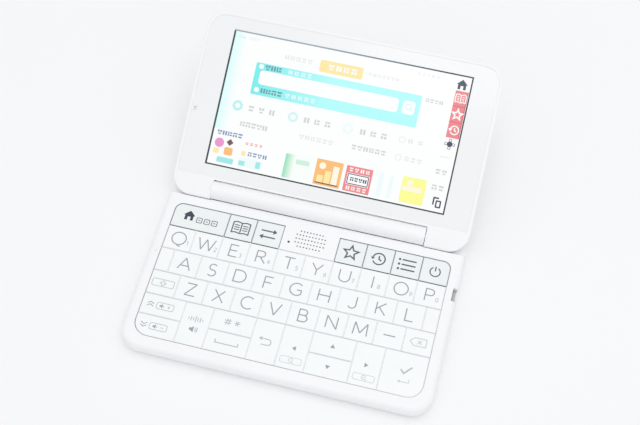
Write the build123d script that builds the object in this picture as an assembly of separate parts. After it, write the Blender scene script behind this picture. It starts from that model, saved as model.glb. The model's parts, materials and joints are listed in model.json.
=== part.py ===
from build123d import *
import os
from math import cos, radians, sin

# Pocket electronic dictionary: a flat base with a tiled keyboard and a screen lid on one hinge.
# Millimetres. X runs to the right, Y to the rear and Z up from the desk. The hinge axis lies
# along X. Every piece is drawn with the hinge axis at y = 0, the lid is drawn closed, and
# place_base and place_lid put the pieces where they stand: the lid open, and the object
# centred over the origin.

# ---------------------------------------------------------------- keyboard
key_pitch = 14.14          # column pitch of the letter keys
function_row = 13.4       # depth of the row of function keys
letter_row = 12.85        # depth of each of the three letter rows
lower_row = 11.05         # depth of each of the two lower rows
key_gap = 0.35            # slit between neighbouring keys
key_chamfer = 0.22        # softened upper edge of a key
key_cap = 1.0             # thickness of a key cap
key_travel = 0.5          # how far a key goes down
cap_clearance = 0.1       # left under a cap that is pressed home
stem_width = 5.0          # guide stem of a key, across
stem_depth = 4.0          # guide stem of a key, front to rear
stem_clearance = 0.2      # slit between a stem and its guide hole
hook_reach = 0.6          # how far the hooked foot of a stem reaches past it on each side
hook_height = 0.5
hook_clearance = 0.03     # left under a foot that is pressed home
panel_rear_radius = 4.0   # corners of the whole key panel
panel_front_radius = 7.5
well_gap = 0.15           # half slit between the key panel and the case

# ---------------------------------------------------------------- base
rear_strip = 10.1         # hinge axis to the key panel
front_rim = 6.15          # key panel to the front of the case
side_rim = 5.7            # key panel to the side of the case
rim_proud = 0.12          # rim above the key tops
axis_above_keys = 2.07    # hinge axis above the key tops
case_front_radius = 10.4  # corners of the case in plan
case_rear_radius = 5.0
rim_rounding = 2.4        # rounded upper edge of the base
belly_rounding = 3.4      # rounded lower edge of the base
case_wall = 2.0
case_floor = 1.4
guide_floor = 0.8         # perforated floor of the key well
island_skin = 1.2         # top skin over the speaker
hinge_block = 6.0         # solid rear part of the upper case, hinge axis to its front
foot_height = 0.5         # rubber feet below the case
foot_recess = 0.6
foot_length = 13.0        # along the width of the case
foot_width = 5.0
foot_corner = 1.2
foot_side_inset = 15.0    # foot centres from the sides
foot_front_inset = 9.0    # front foot centres from the front
rear_foot_offset = 2.0    # rear foot centres in front of the hinge axis
boss_side = 4.4           # square screw bosses and board posts
hole_side_count = 8       # small round holes are drawn with this many flats
head_side_count = 12      # and the counterbores with this many
screw_hole = 1.8
screw_head_diameter = 3.6          # counterbore for the head
screw_head_depth = 1.6
boss_from_wall = 3.4      # boss centre inside the inner face of the side wall
grille_rows = (8, 10, 10, 10, 8)
grille_pitch_x = 1.6
grille_pitch_y = 2.17
grille_hole = 0.8
grille_behind_edge = 5.3  # middle of the grille in front of the rear edge of the key panel
microphone_hole = 1.2
microphone_x = -10.3
microphone_y = -18.4
nub_width = 0.9           # lid switch nub on the left rim
nub_length = 1.5
nub_height = 0.8
nub_from_side = 3.4       # nub centre inside the side of the case
nub_from_axis = 38.6

# ---------------------------------------------------------------- parts in the base
mat_thickness = 0.5
mat_pad = 0.3             # raised pad under each stem
board_thickness = 0.8
board_clearance = 0.6
battery_width = 68.0
battery_depth = 46.0
battery_thickness = 3.0
fence_height = 1.6        # ribs that hold the battery
fence_thickness = 1.0
speaker_width = 20.0
speaker_depth = 11.0
pocket_clearance = 0.3
socket_width = 6.6        # side socket, front to rear
socket_height = 2.2
socket_depth = 3.4
socket_wall = 0.3
socket_from_side = 2.3    # mouth of the socket inside the side of the case
socket_from_axis = 26.8
notch_clearance = 0.3     # notch round the socket's mouth

# ---------------------------------------------------------------- hinge
opening = 152.7           # angle between the closed lid and the lid as it stands, degrees
ear_radius = 5.0          # ears of the lid, and its back above the axis
barrel_radius = 4.6
barrel_length = 109.6
ear_gap = 0.3             # between the end of the barrel and an ear
scoop_clearance = 0.35    # between an ear and the hollow under it
barrel_clearance = 0.3    # between the barrel and the lid
barrel_slit = 0.4         # hollow in the top of the base in front of the barrel
shaft_radius = 1.5
shaft_clearance = 0.05
shaft_in_barrel = 10.0
shaft_in_ear = 11.0
bore_end_gap = 0.3

# ---------------------------------------------------------------- lid
closed_gap = 0.3          # between the rims when the lid is shut
lid_lip = 0.34            # rim above the face of the glass
lid_rim = 1.6             # width of the rim round the glass
hinge_rim = 1.1           # rim between the glass and the barrel
ear_corner_radius = 10.4  # corners of the lid at the ends of the ears
ear_rolled_edge = 1.2     # rounded front edge of an ear, below the axis
lid_rounding = 2.4        # rounded outer edge of the back cover and of the ears
front_chamfer = 0.4       # softened inner edge of the lid, towards the base
glass_thickness = 1.1
glass_clearance = 0.1
glass_ledge = 0.81        # frame behind the glass
lid_wall = 2.0
lid_skin = 1.4
screen_width = 121.8      # 5.5 inch picture, 16:9
screen_height = 68.5
screen_from_axis = 13.0
screen_side_margin = 12.0 # least margin beside the picture
screen_top_margin = 6.0   # least margin beyond the picture
module_margin = 2.2       # metal frame of the display round the picture
module_thickness = 2.6
module_clearance = 0.3
rib_thickness = 1.2
sensor_slot_width = 1.4   # slot in the bezel that takes the nub
sensor_slot_length = 2.1

# ---------------------------------------------------------------- worked out from these
rows = (function_row, letter_row, letter_row, letter_row, lower_row, lower_row)
columns = 10
panel_width = columns * key_pitch
panel_rear = -rear_strip
panel_front = panel_rear - sum(rows)
body_width = max(panel_width + 2 * side_rim, screen_width + 2 * screen_side_margin)
half_width = body_width / 2
body_front = min(panel_front - front_rim, -(screen_from_axis + screen_height + screen_top_margin))
body_rear = barrel_radius

case_bottom = foot_height
floor_top = case_bottom + case_floor
board_bottom = floor_top + battery_thickness
board_top = board_bottom + board_thickness
case_split = board_bottom + board_thickness / 2
mat_top = board_top + mat_thickness
pad_top = mat_top + mat_pad
foot_bottom = pad_top + hook_clearance + key_travel
guide_bottom = foot_bottom + hook_height
guide_top = guide_bottom + guide_floor
cap_bottom = guide_top + cap_clearance + key_travel
key_top = cap_bottom + key_cap
rim_top = key_top + rim_proud
axis_height = key_top + axis_above_keys

lid_face = -(axis_above_keys - rim_proud - closed_gap)
glass_face = lid_face + lid_lip
glass_back = glass_face + glass_thickness
lid_split = glass_back + glass_ledge
lid_back = ear_radius
lid_ceiling = lid_back - lid_skin
lid_hinge_edge = -max(ear_radius, barrel_radius + barrel_clearance)
glass_hinge_edge = lid_hinge_edge - hinge_rim
ear_inner = barrel_length / 2 + ear_gap
screen_middle = -(screen_from_axis + screen_height / 2)

# Each key: name, first column, columns wide, first row, rows deep.
KEYS = [
    ("home", 0, 2, 0, 1),
    ("dictionary_a", 2, 1, 0, 1),
    ("dictionary_b", 3, 1, 0, 1),
    ("my_words", 6, 1, 0, 1),
    ("history", 7, 1, 0, 1),
    ("index", 8, 1, 0, 1),
    ("power", 9, 1, 0, 1),
    ("shift", 0, 1, 3, 1),
    ("dash", 8, 1, 3, 1),
    ("delete", 9, 1, 3, 1),
    ("volume_up", 0, 1.5, 4, 1),
    ("volume_down", 0, 1.5, 5, 1),
    ("voice", 1.5, 1, 4, 2),
    ("symbol", 2.5, 1.5, 4, 1),
    ("space", 2.5, 1.5, 5, 1),
    ("back", 4, 1, 4, 2),
    ("left", 5, 1, 4, 2),
    ("up", 6, 1.5, 4, 1),
    ("down", 6, 1.5, 5, 1),
    ("right", 7.5, 1, 4, 2),
    ("enter", 8.5, 1.5, 4, 2),
]
for letters, first, row in (("qwertyuiop", 0, 1), ("asdfghjkl", 0.5, 2), ("zxcvbnm", 1, 3)):
    KEYS += [(letter, first + i, 1, row, 1) for i, letter in enumerate(letters)]


def island():
    """Cell of the speaker between the function keys."""
    return "island", 4, 2, 0, 1


def blanks():
    """Half cells at the ends of a letter row, filled by fixed tiles."""
    return [("blank_left", 0, 0.5, 2, 1), ("blank_right", columns - 0.5, 0.5, 2, 1)]


def plan(half, front, rear, front_radius, rear_radius):
    """Flat outline, symmetric about x = 0, with its own radii at the front and rear corners."""
    outline = Pos(0, (front + rear) / 2) * Rectangle(2 * half, rear - front)
    if front_radius > 0:
        outline = fillet(outline.vertices().group_by(Axis.Y)[0], front_radius)
    if rear_radius > 0:
        outline = fillet(outline.vertices().group_by(Axis.Y)[-1], rear_radius)
    return outline


def slab(outline, low, high):
    """Outline pulled up from one height to another."""
    return extrude(Pos(0, 0, low) * outline, high - low)


def block(x0, x1, y0, y1, z0, z1):
    """Box between two corners."""
    return Pos((x0 + x1) / 2, (y0 + y1) / 2, (z0 + z1) / 2) * Box(x1 - x0, y1 - y0, z1 - z0)


def small_hole(x, y, z0, z1, diameter, sides=hole_side_count):
    """Upright small hole with flat sides, as wide across them as its diameter."""
    outline = Pos(x, y, z0) * RegularPolygon(diameter / 2, round(sides), major_radius=False)
    return extrude(outline, z1 - z0)


def square_post(x, y, z0, z1, side):
    """Upright square post."""
    return block(x - side / 2, x + side / 2, y - side / 2, y + side / 2, z0, z1)


def rod(x0, x1, radius, z=0.0):
    """Round bar along the hinge axis."""
    return Pos((x0 + x1) / 2, 0, z) * Rot(0, 90, 0) * Cylinder(radius, x1 - x0)


def cell(key):
    """Left, right, front and rear of a key's cell."""
    _, column, wide, row, deep = key
    left = -panel_width / 2 + column * key_pitch
    rear = panel_rear - sum(rows[:row])
    return left, left + wide * key_pitch, rear - sum(rows[row:row + deep]), rear


def cell_box(key, inset, z0, z1):
    """Box over a key's cell, less an inset on each side."""
    x0, x1, y0, y1 = cell(key)
    return block(x0 + inset, x1 - inset, y0 + inset, y1 - inset, z0, z1)


def stem_size(key):
    """Width of a key's stem: a wider key has a wider one."""
    return stem_width + (key[2] - 1) * key_pitch * 0.6


def stem_box(key, grow_x, grow_y, z0, z1):
    """Box on the axis of a key's stem."""
    x0, x1, y0, y1 = cell(key)
    x, y = (x0 + x1) / 2, (y0 + y1) / 2
    dx = stem_size(key) / 2 + grow_x
    dy = stem_depth / 2 + grow_y
    return block(x - dx, x + dx, y - dy, y + dy, z0, z1)


def panel_slab(grow, z0, z1):
    """The whole key panel, grown all round."""
    outline = plan(panel_width / 2 + grow, panel_front - grow, panel_rear + grow,
                   panel_front_radius + grow, panel_rear_radius + grow)
    return slab(outline, z0, z1)


def case_plan(inset):
    """Outline of the base, less an inset all round."""
    return plan(half_width - inset, body_front + inset, body_rear - inset,
                case_front_radius - inset, case_rear_radius - inset)


def screw_places():
    """Screws along both side walls: behind the front corners, in the middle and at the rear."""
    x = half_width - case_wall - boss_from_wall
    front = body_front + case_front_radius
    rear = -(hinge_block + boss_side)
    return [(side * x, y) for side in (-1, 1) for y in (front, (front + rear) / 2, rear)]


def foot_places():
    """Rubber feet, two in front and two under the hinge."""
    x = half_width - foot_side_inset
    front = body_front + foot_front_inset
    return [(side * x, y) for side in (-1, 1) for y in (front, -rear_foot_offset)]


# ---------------------------------------------------------------- keys

def make_key(key):
    """Tile on a stem with a hooked foot that catches under the guide floor."""
    cap = cell_box(key, key_gap / 2, cap_bottom, key_top)
    cap = cap & panel_slab(-key_gap / 2, cap_bottom, key_top)
    cap = chamfer(cap.edges().group_by(Axis.Z)[-1], key_chamfer)
    stem = stem_box(key, 0, 0, guide_bottom, cap_bottom)
    foot = stem_box(key, hook_reach, 0, foot_bottom, guide_bottom)
    return cap + stem + foot


# ---------------------------------------------------------------- base

def hinge_scoops():
    """Hollows at the rear corners that leave the ears of the lid room to turn."""
    radius = ear_radius + scoop_clearance
    cuts = []
    for side in (-1, 1):
        inner = side * barrel_length / 2
        outer = side * (half_width + 1)
        x0, x1 = min(inner, outer), max(inner, outer)
        cuts.append(rod(x0, x1, radius, axis_height))
        cuts.append(block(x0, x1, 0, 2 * radius, axis_height - radius, axis_height + radius))
    return cuts


def grille_holes():
    """Rows of sound holes over the speaker, and the microphone hole."""
    middle = panel_rear - grille_behind_edge
    holes = []
    for row, count in enumerate(grille_rows):
        y = middle + ((len(grille_rows) - 1) / 2 - row) * grille_pitch_y
        for i in range(count):
            x = (i - (count - 1) / 2) * grille_pitch_x
            holes.append(small_hole(x, y, rim_top - 2 * island_skin, rim_top + 1, grille_hole))
    holes.append(small_hole(microphone_x, microphone_y, rim_top - 2 * island_skin, rim_top + 1,
                            microphone_hole))
    return holes


def socket_middle():
    """Height of the middle of the side socket, which stands on the board."""
    return board_top + socket_height / 2


def socket_space(x0, x1, grow, z0, z1):
    """Box round the side socket."""
    return block(x0, x1, -socket_from_axis - socket_width / 2 - grow,
                 -socket_from_axis + socket_width / 2 + grow, z0, z1)


def make_upper_case():
    """Upper half of the base: rim, key well with its guide holes, grille and hinge barrel."""
    case = slab(case_plan(0), case_split, rim_top)
    case = fillet(case.edges().group_by(Axis.Z)[-1], rim_rounding)
    for cut in hinge_scoops():
        case -= cut
    half_barrel = barrel_length / 2
    case -= rod(-half_barrel, half_barrel, barrel_radius + barrel_slit, axis_height)
    case += block(-half_barrel, half_barrel, 0, barrel_radius, case_split, axis_height)
    case += rod(-half_barrel, half_barrel, barrel_radius, axis_height)
    cavity = plan(half_width - case_wall, body_front + case_wall, -hinge_block,
                  case_front_radius - case_wall, 0)
    case -= slab(cavity, case_split - 1, guide_bottom)
    well = panel_slab(well_gap, guide_top, rim_top + 1)
    x0, x1, y0, _ = cell(island())
    half_slit = key_gap / 2
    well -= block(x0 + half_slit, x1 - half_slit, y0 + half_slit, 0, guide_top - 1, rim_top + 2)
    case -= well
    holes = [stem_box(key, stem_clearance, stem_clearance, guide_bottom - 1, guide_top + 1)
             for key in KEYS]
    case -= holes
    sound_room = block(-(speaker_width / 2 + pocket_clearance), speaker_width / 2 + pocket_clearance,
                       y0 + island_skin, -hinge_block - island_skin,
                       case_split - 1, rim_top - island_skin)
    case -= sound_room
    case -= grille_holes()
    for blank in blanks():
        tile = cell_box(blank, half_slit, guide_top, key_top)
        case += chamfer(tile.edges().group_by(Axis.Z)[-1], key_chamfer)
    for x, y in screw_places():
        case += square_post(x, y, case_split, guide_bottom, boss_side)
        case -= small_hole(x, y, case_split - 1, guide_bottom, screw_hole)
    mouth = half_width - socket_from_side
    case -= socket_space(mouth - socket_depth - pocket_clearance, mouth, pocket_clearance,
                         case_split - 1, board_top + socket_height + pocket_clearance)
    case -= socket_space(mouth, half_width + 1, notch_clearance, board_top, rim_top + 1)
    bore = shaft_in_barrel
    for side in (-1, 1):
        ends = sorted((side * half_barrel, side * (half_barrel - bore)))
        case -= rod(ends[0], ends[1], shaft_radius, axis_height)
    nub_x = -(half_width - nub_from_side)
    case += block(nub_x - nub_width / 2, nub_x + nub_width / 2, -nub_from_axis - nub_length / 2,
                  -nub_from_axis + nub_length / 2, rim_top - 0.2, rim_top + nub_height)
    return case


def make_lower_case():
    """Lower half of the base: tray with screw bosses, board posts and a battery fence."""
    case = slab(case_plan(0), case_bottom, case_split)
    case = fillet(case.edges().group_by(Axis.Z)[0], belly_rounding)
    inner = plan(half_width - case_wall, body_front + case_wall, body_rear - case_wall,
                 case_front_radius - case_wall, case_rear_radius - case_wall)
    case -= slab(inner, floor_top, case_split + 1)
    for x, y in screw_places():
        case += square_post(x, y, floor_top, case_split, boss_side)
        case -= small_hole(x, y, case_bottom, case_split + 1, screw_hole)
        case -= small_hole(x, y, case_bottom - 1, case_bottom + screw_head_depth, screw_head_diameter,
                           head_side_count)
    bx, by = battery_half()
    middle = battery_middle()
    gap = pocket_clearance
    fence = block(-bx - gap - fence_thickness, bx + gap + fence_thickness,
                  middle - by - gap - fence_thickness, middle + by + gap + fence_thickness,
                  floor_top, floor_top + fence_height)
    fence -= block(-bx - gap, bx + gap, middle - by - gap, middle + by + gap,
                   floor_top - 1, floor_top + fence_height + 1)
    case += fence
    for x, y in board_posts():
        case += square_post(x, y, floor_top, board_bottom, boss_side)
    for x, y in foot_places():
        case -= foot_bar(x, y, case_bottom - 1)
    return case


def battery_half():
    """Half the width and half the depth of the battery."""
    return battery_width / 2, battery_depth / 2


def battery_middle():
    """The battery lies under the middle of the key panel."""
    return (panel_front + panel_rear) / 2


def board_posts():
    """Posts under the board, outside the battery."""
    x = (panel_width / 2 + battery_width / 2) / 2
    y = (panel_rear - panel_front) / 2 - boss_side
    return [(sx * x, battery_middle() + sy * y) for sx in (-1, 1) for sy in (-1, 0, 1)]


def board_outline():
    """Board clear of the screw bosses, with a tongue under the side socket."""
    half = half_width - case_wall - boss_from_wall - boss_side / 2 - board_clearance
    front = panel_front - front_rim + case_wall + board_clearance
    rear = -(hinge_block + board_clearance)
    return half, front, rear


def make_board():
    """Circuit board under the key mat."""
    half, front, rear = board_outline()
    board = block(-half, half, front, rear, board_bottom, board_top)
    tongue_end = half_width - socket_from_side
    return board + socket_space(half - 1, tongue_end, pocket_clearance, board_bottom, board_top)


def make_mat():
    """Silicone mat on the board, with a pad under each stem and a window for the speaker."""
    half, front, rear = board_outline()
    mat = block(-half, half, front, rear, board_top, mat_top)
    mat -= block(-(speaker_width / 2 + pocket_clearance), speaker_width / 2 + pocket_clearance,
                 cell(island())[2], 0, board_top - 1, mat_top + 1)
    pads = [stem_box(key, 0, 0, mat_top, pad_top) for key in KEYS]
    return mat + pads


def make_battery():
    """Flat rechargeable pack between the floor and the board."""
    bx, by = battery_half()
    middle = battery_middle()
    pack = block(-bx, bx, middle - by, middle + by, floor_top, board_bottom)
    return chamfer(pack.edges().filter_by(Axis.Y), battery_thickness * 0.3)


def make_speaker():
    """Oval speaker between the board and the grille."""
    middle = speaker_middle()
    outline = Pos(0, middle) * RectangleRounded(speaker_width, speaker_depth, speaker_depth * 0.45)
    return slab(outline, board_top, rim_top - island_skin)


def speaker_middle():
    """The speaker sits in the middle of its room."""
    return (cell(island())[2] + island_skin - hinge_block - island_skin) / 2


def make_socket():
    """Metal shell of the charging socket, open to the side, with its tongue inside."""
    mouth = half_width - socket_from_side
    top = board_top + socket_height
    shell = socket_space(mouth - socket_depth, mouth, 0, board_top, top)
    shell = fillet(shell.edges().filter_by(Axis.X), socket_wall * 2)
    shell -= socket_space(mouth - socket_depth + socket_wall, mouth + 1, -socket_wall,
                          board_top + socket_wall, top - socket_wall)
    tongue = socket_space(mouth - socket_depth + socket_wall, mouth - socket_wall,
                          -socket_width / 4, socket_middle() - socket_wall,
                          socket_middle() + socket_wall)
    return shell + tongue


def foot_bar(x, y, z0):
    """Foot with cut corners, up to the bottom of its recess in the case."""
    outline = Rectangle(foot_length, foot_width)
    outline = chamfer(outline.vertices(), foot_corner)
    return slab(Pos(x, y) * outline, z0, case_bottom + foot_recess)


def make_feet():
    """Four rubber feet."""
    return Part() + [foot_bar(x, y, 0) for x, y in foot_places()]


def make_shafts():
    """Two steel hinge shafts, fixed in the ends of the barrel."""
    shafts = []
    for side in (-1, 1):
        inner = side * (barrel_length / 2 - shaft_in_barrel)
        outer = side * (ear_inner + shaft_in_ear)
        shafts.append(rod(min(inner, outer), max(inner, outer), shaft_radius, axis_height))
    return Part() + shafts


# ---------------------------------------------------------------- lid, drawn closed, axis at z = 0

def lid_outline():
    """Outline of the front frame, as wide and as long as the lid, up to the barrel."""
    whole = plan(half_width, body_front, ear_radius, case_front_radius, ear_corner_radius)
    return whole & Pos(0, lid_hinge_edge + body_front) * Rectangle(3 * half_width, -2 * body_front)


def hinge_profile():
    """Side view of the lid at an ear: flat in front, round behind the axis."""
    behind = Circle(ear_radius)
    ahead = Pos(body_front, 0) * Rectangle(-2 * body_front, 4 * ear_radius)
    in_front_of_face = Pos(0, lid_face - 2 * ear_radius) * Rectangle(-4 * body_front, 4 * ear_radius)
    profile = behind + ahead - in_front_of_face
    return fillet(profile.vertices().group_by(Axis.X)[-1], ear_rolled_edge)


def make_lid_back():
    """Back cover of the lid. Its two ears are flush with the rim and round behind the axis."""
    cover = slab(plan(half_width, body_front, ear_radius, case_front_radius, ear_corner_radius),
                 lid_face, lid_back)
    cover = fillet(cover.edges().group_by(Axis.Z)[-1], lid_rounding)
    cover = chamfer(cover.edges().group_by(Axis.Z)[0], front_chamfer)
    cover &= extrude(Plane.YZ * hinge_profile(), half_width + 1, both=True)
    cover -= block(-half_width - 1, half_width + 1, body_front - 1, lid_hinge_edge,
                   lid_face - 1, lid_split)
    cover -= block(-ear_inner, ear_inner, lid_hinge_edge, ear_radius + 1,
                   lid_face - 1, lid_back + 1)
    room = plan(half_width - lid_wall, body_front + lid_wall, glass_hinge_edge - lid_wall,
                case_front_radius - lid_wall, 0)
    cover -= slab(room, lid_split - 1, lid_ceiling)
    module_back = glass_back + module_thickness
    reach = screen_height / 2 + module_margin
    for x in (-screen_width / 4, screen_width / 4):
        cover += block(x - rib_thickness / 2, x + rib_thickness / 2, screen_middle - reach,
                       screen_middle + reach, module_back, lid_ceiling)
    for side in (-1, 1):
        ends = sorted((side * ear_inner, side * (ear_inner + shaft_in_ear + bore_end_gap)))
        cover -= rod(ends[0], ends[1], shaft_radius + shaft_clearance)
    return cover


def glass_plan(grow):
    """Outline of the glass, or of its recess in the frame."""
    return plan(half_width - lid_rim + grow, body_front + lid_rim - grow, glass_hinge_edge + grow,
                case_front_radius - lid_rim + grow, 1.0)


def module_box(grow, z0, z1):
    """Box round the display module."""
    x = screen_width / 2 + module_margin + grow
    y = screen_height / 2 + module_margin + grow
    return block(-x, x, screen_middle - y, screen_middle + y, z0, z1)


def make_lid_frame():
    """Front frame of the lid: rim and ledge for the glass, open behind the display."""
    frame = slab(lid_outline(), lid_face, lid_split)
    outer_edges = [edge for edge in frame.edges().group_by(Axis.Z)[0]
                   if edge.center().Y < lid_hinge_edge - front_chamfer]
    frame = chamfer(outer_edges, front_chamfer)
    frame -= slab(glass_plan(glass_clearance), lid_face - 1, glass_back)
    return frame - module_box(module_clearance, glass_back - 1, lid_split + 1)


def make_glass():
    """Touch glass that covers the whole front of the lid inside the rim."""
    glass = slab(glass_plan(0), glass_face, glass_back)
    x = -(half_width - nub_from_side)
    return glass - block(x - sensor_slot_width / 2, x + sensor_slot_width / 2,
                         -nub_from_axis - sensor_slot_length / 2,
                         -nub_from_axis + sensor_slot_length / 2, glass_face - 1, glass_back + 1)


def make_module():
    """Display module behind the glass."""
    return module_box(0, glass_back, glass_back + module_thickness)


def place_lid(shape):
    """Open a lid piece by the rest angle."""
    return Pos(0, 0, axis_height) * Rot(-opening, 0, 0) * shape


base_pieces = {
    "upper_case": make_upper_case(),
    "lower_case": make_lower_case(),
    "key_mat": make_mat(),
    "main_board": make_board(),
    "battery": make_battery(),
    "speaker": make_speaker(),
    "charging_socket": make_socket(),
    "rubber_feet": make_feet(),
    "hinge_shafts": make_shafts(),
}
for key in KEYS:
    base_pieces["key_" + key[0]] = make_key(key)
lid_pieces = {
    "lid_back_cover": place_lid(make_lid_back()),
    "lid_front_frame": place_lid(make_lid_frame()),
    "touch_glass": place_lid(make_glass()),
    "display_module": place_lid(make_module()),
}

reach = lid_pieces["lid_back_cover"].bounding_box().max.Y
stand_shift = -(body_front + reach) / 2
os.makedirs("parts", exist_ok=True)
for name, shape in {**base_pieces, **lid_pieces}.items():
    export_step(Pos(0, stand_shift, 0) * shape, f"parts/{name}.step")
print("hinge axis y, z:", round(stand_shift, 4), round(axis_height, 4))
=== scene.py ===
import json
from math import cos, dist, hypot, radians, sin

import bmesh
import bpy
from mathutils import Matrix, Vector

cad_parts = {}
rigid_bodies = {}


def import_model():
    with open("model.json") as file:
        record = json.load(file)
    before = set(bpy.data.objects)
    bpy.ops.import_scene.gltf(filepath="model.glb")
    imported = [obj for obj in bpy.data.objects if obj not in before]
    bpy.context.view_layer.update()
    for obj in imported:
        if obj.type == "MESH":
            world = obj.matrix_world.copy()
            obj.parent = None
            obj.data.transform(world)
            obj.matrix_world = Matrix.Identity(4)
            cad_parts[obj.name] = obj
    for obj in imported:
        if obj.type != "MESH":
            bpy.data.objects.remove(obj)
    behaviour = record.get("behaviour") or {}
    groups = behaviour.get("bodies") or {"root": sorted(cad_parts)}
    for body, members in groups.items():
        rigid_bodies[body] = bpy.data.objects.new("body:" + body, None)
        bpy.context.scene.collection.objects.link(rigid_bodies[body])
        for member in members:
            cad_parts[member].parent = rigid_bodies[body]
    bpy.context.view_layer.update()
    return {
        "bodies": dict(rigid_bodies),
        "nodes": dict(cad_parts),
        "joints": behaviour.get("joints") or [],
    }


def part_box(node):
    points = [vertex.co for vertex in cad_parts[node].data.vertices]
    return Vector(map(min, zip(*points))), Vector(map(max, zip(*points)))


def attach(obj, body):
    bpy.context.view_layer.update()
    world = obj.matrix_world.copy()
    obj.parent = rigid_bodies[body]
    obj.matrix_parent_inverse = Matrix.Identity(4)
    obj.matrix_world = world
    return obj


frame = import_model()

# Pocket electronic dictionary, dressed over its CAD model. Shapes are given in millimetres in
# the object's own frame: X to the right, Y to the rear, Z up from the desk. Everything that is
# printed on the lid is drawn with the lid shut and then opened round the hinge.

MM = 0.001


# ---- colours

def tone(red, green, blue):
    """Linear colour of a tone given in the usual 0 to 255 steps."""
    def linear(value):
        value /= 255
        return value / 12.92 if value <= 0.04045 else ((value + 0.055) / 1.055) ** 2.4
    return linear(red), linear(green), linear(blue), 1


def deeper(colour, share):
    """Colour with a share of its light."""
    return tuple(channel * share for channel in colour[:3]) + (1,)


CASE_WHITE = tone(247, 248, 250)
TILE_WHITE = tone(247, 250, 251)
FUNCTION_GREY = tone(238, 243, 244)
BEZEL_PALE = tone(242, 244, 245)
LINE_DARK = tone(58, 70, 80)
LINE_FADED = tone(150, 168, 182)
# grey of the rubber feet, also used as painted shade in the notch by the socket
RUBBER_AND_NOTCH_SHADE_GREY = tone(212, 213, 215)
FLOOR_WHITE = tone(248, 249, 250)
WORLD_WHITE = tone(252, 252, 252)


# ---- materials

MIX_FACTOR, MIX_FIRST, MIX_SECOND, MIX_COLOUR = 0, 6, 7, 2    # colour sockets of a mix node
COAT_ROUGHNESS = 0.08
DOT_SIZE = 0.5           # grain of the lit picture
DOT_DEPTH = 0.0005
DOT_DIMMING = 0.97       # share of its tone that the picture keeps between the dots
UNLIT = (0.01, 0.01, 0.012, 1)     # the picture where no light comes out of it
SCREEN_PATCH = 14        # slow change of the gloss over the screen
SCREEN_GLOSS = (0.10, 0.16)
SCREEN_SPECULAR = 0.3


class Look:
    """Node tree of a material or of the world, with the nodes that the looks are made of."""

    def __init__(self, tree):
        self.tree = tree
        self.coordinates = None

    def node(self, kind, inputs=None, **settings):
        """New node with its settings and its inputs."""
        node = self.tree.nodes.new("ShaderNode" + kind)
        for name, value in settings.items():
            setattr(node, name, value)
        self.feed(node, inputs or {})
        return node

    def feed(self, node, inputs):
        """Gives each input its value, or links it to the output that it follows."""
        for name, value in inputs.items():
            if isinstance(value, bpy.types.NodeSocket):
                self.tree.links.new(value, node.inputs[name])
            else:
                node.inputs[name].default_value = value

    def place(self, kind="Object"):
        """Coordinates of the point that is shaded."""
        if self.coordinates is None:
            self.coordinates = self.node("TexCoord")
        return self.coordinates.outputs[kind]

    def noise(self, size, detail=2, stretch=(1, 1, 1)):
        """Noise whose lumps are about as large as size, in millimetres."""
        where = self.node("Mapping", {"Vector": self.place(), "Scale": stretch})
        inputs = {"Vector": where.outputs["Vector"], "Scale": 1 / (size * MM), "Detail": detail}
        return self.node("TexNoise", inputs).outputs["Fac"]

    def mixed(self, factor, first, second):
        """Colour between two colours."""
        inputs = {MIX_FACTOR: factor, MIX_FIRST: first, MIX_SECOND: second}
        return self.node("Mix", inputs, data_type="RGBA").outputs[MIX_COLOUR]

    def ranged(self, value, low, high, start=0.3, stop=0.7):
        """Value brought from one range to another."""
        inputs = {"Value": value, "From Min": start, "From Max": stop, "To Min": low,
                  "To Max": high}
        return self.node("MapRange", inputs).outputs["Result"]

    def raised(self, height, depth):
        """Normal that follows a height, with depth in millimetres."""
        inputs = {"Height": height, "Distance": depth * MM, "Strength": 1}
        return self.node("Bump", inputs).outputs["Normal"]

    def shade(self, level, colour, share, second, ramp):
        """Colour that wanders with a level and, left of a ramp in X, turns to a second one."""
        colour = self.mixed(self.ranged(level, 0, 1), deeper(colour, share), colour)
        if second is None:
            return colour
        along = self.node("SeparateXYZ", {"Vector": self.place()}).outputs["X"]
        return self.mixed(self.ranged(along, 0, 1, ramp[0] * MM, ramp[1] * MM), second, colour)


def new_material(name):
    """Empty material, with its look and its shader."""
    material = bpy.data.materials.new(name)
    material.use_nodes = True
    tree = material.node_tree
    return material, Look(tree), tree.nodes["Principled BSDF"]


def moulded(name, colour, roughness, spread=0.06, grain=0.35, depth=0.004, patch=22,
            mottle=0.985, metallic=0.0, coat=0.0, stretch=(1, 1, 1), specular=0.5,
            second=None, ramp=None):
    """Moulded, printed or stamped surface: fine grain, slow changes of tone and of gloss."""
    material, look, shader = new_material(name)
    slow = look.noise(patch)
    fine = look.noise(grain, stretch=stretch)
    look.feed(shader, {
        "Base Color": look.shade(slow, colour, mottle, second, ramp),
        "Roughness": look.ranged(slow, roughness - spread / 2, roughness + spread / 2),
        "Normal": look.raised(fine, depth),
        "Metallic": metallic,
        "Specular IOR Level": specular,
        "Coat Weight": coat,
        "Coat Roughness": COAT_ROUGHNESS,
    })
    return material


def lit(name, colour, second=None, ramp=None):
    """Part of a lit picture under glass: it glows, and fine dots break its tone."""
    material, look, shader = new_material(name)
    dots = look.noise(DOT_SIZE, detail=1)
    slow = look.noise(SCREEN_PATCH)
    look.feed(shader, {
        "Emission Color": look.shade(dots, colour, DOT_DIMMING, second, ramp),
        "Emission Strength": 1,
        "Base Color": UNLIT,
        "Roughness": look.ranged(slow, *SCREEN_GLOSS),
        "Normal": look.raised(dots, DOT_DEPTH),
        "Specular IOR Level": SCREEN_SPECULAR,
    })
    return material


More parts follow.
